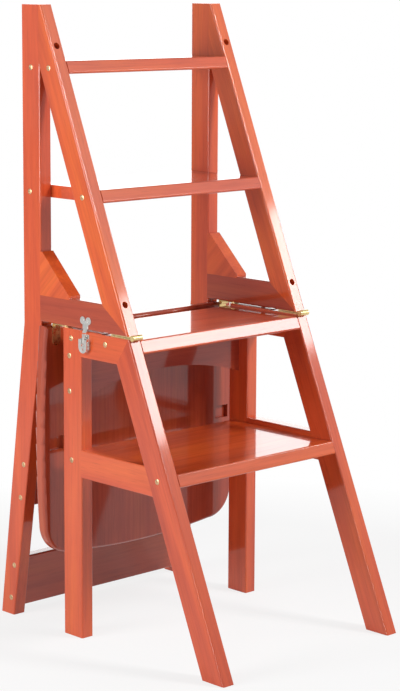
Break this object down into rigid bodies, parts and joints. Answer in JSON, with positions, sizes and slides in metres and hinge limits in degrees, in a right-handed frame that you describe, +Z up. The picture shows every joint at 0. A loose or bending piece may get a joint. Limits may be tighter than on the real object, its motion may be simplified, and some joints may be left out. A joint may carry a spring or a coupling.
{
  "type": "folding step stool chair",
  "caption": "Wooden library ladder chair in its ladder position: the top half folds over on front hinges to make a chair with a seat board and back rest.",
  "frame": {"origin": "centre of the bounding box on the floor", "axes": "X across the steps, -Y towards the front (the side one climbs), +Z up"},
  "size_m": [0.3852, 0.476, 0.9],
  "materials": {
    "frame_wood": "gloss",
    "step_wood": "gloss",
    "panel_wood": "gloss",
    "seat_wood": "gloss",
    "screw_brass": "polished",
    "hinge_brass": "polished",
    "steel_screw": "satin",
    "latch_nickel": "polished"
  },
  "bodies": {
    "base": {"apron": "panel_wood", "base_rail_left": "frame_wood", "base_rail_right": "frame_wood", "base_screws": "screw_brass", "fold_base_leaf_left": "hinge_brass", "fold_base_leaf_right": "hinge_brass", "fold_base_screws": "hinge_brass", "fold_pins": "hinge_brass", "fourth_step": "step_wood", "front_leg_left": "frame_wood", "front_leg_right": "frame_wood", "latch_base_left": "latch_nickel", "latch_base_right": "latch_nickel", "latch_pins": "latch_nickel", "latch_screws": "latch_nickel", "mid_rail_left": "frame_wood", "mid_rail_right": "frame_wood", "rear_leg_left": "frame_wood", "rear_leg_right": "frame_wood", "third_step": "step_wood"},
    "upper_frame": {"back_post_left": "frame_wood", "back_post_right": "frame_wood", "back_slat": "panel_wood", "crest_rail": "panel_wood", "first_step": "step_wood", "fold_upper_leaf_left": "hinge_brass", "fold_upper_leaf_right": "hinge_brass", "fold_upper_screws": "hinge_brass", "gusset_left": "frame_wood", "gusset_right": "frame_wood", "leg_screws": "steel_screw", "seat_pins": "hinge_brass", "seat_rail_leaf_left": "hinge_brass", "seat_rail_leaf_right": "hinge_brass", "seat_rail_screws": "hinge_brass", "second_step": "step_wood", "strike_left": "latch_nickel", "strike_right": "latch_nickel", "strike_screws": "latch_nickel", "upper_leg_left": "frame_wood", "upper_leg_right": "frame_wood", "upper_rail_left": "frame_wood", "upper_rail_right": "frame_wood", "upper_screws": "screw_brass"},
    "seat": {"seat_board": "seat_wood", "seat_board_leaf_left": "hinge_brass", "seat_board_leaf_right": "hinge_brass", "seat_board_screws": "hinge_brass"},
    "latch_lever_body_left": {"latch_lever_left": "latch_nickel", "claw_pin_left": "latch_nickel"},
    "latch_claw_body_left": {"latch_claw_left": "latch_nickel"},
    "latch_lever_body_right": {"latch_lever_right": "latch_nickel", "claw_pin_right": "latch_nickel"},
    "latch_claw_body_right": {"latch_claw_right": "latch_nickel"}
  },
  "joints": [
    {"name": "fold_hinge", "type": "hinge", "parent": "base", "child": "upper_frame", "pos_m": [0, -0.0527, 0.45], "axis": [1, 0, 0], "range_deg": [0, 180]},
    {"name": "seat_hinge", "type": "hinge", "parent": "upper_frame", "child": "seat", "pos_m": [0, 0.1157, 0.448], "axis": [1, 0, 0], "range_deg": [-90, 0]},
    {"name": "latch_lever_joint_left", "type": "hinge", "parent": "base", "child": "latch_lever_body_left", "pos_m": [-0.1794, 0.041, 0.437], "axis": [0, 1, 0], "range_deg": [0, 90]},
    {"name": "latch_claw_joint_left", "type": "hinge", "parent": "latch_lever_body_left", "child": "latch_claw_body_left", "pos_m": [-0.1794, 0.041, 0.432], "axis": [0, 1, 0], "range_deg": [-90, 0]},
    {"name": "latch_lever_joint_right", "type": "hinge", "parent": "base", "child": "latch_lever_body_right", "pos_m": [0.1794, 0.041, 0.437], "axis": [0, -1, 0], "range_deg": [0, 90]},
    {"name": "latch_claw_joint_right", "type": "hinge", "parent": "latch_lever_body_right", "child": "latch_claw_body_right", "pos_m": [0.1794, 0.041, 0.432], "axis": [0, -1, 0], "range_deg": [-90, 0]}
  ],
  "couplings": [
    {"joint": "seat_hinge", "follows": "fold_hinge", "ratio": -0.5},
    {"joint": "latch_claw_joint_left", "follows": "latch_lever_joint_left", "ratio": -1},
    {"joint": "latch_claw_joint_right", "follows": "latch_lever_joint_right", "ratio": -1}
  ]
}
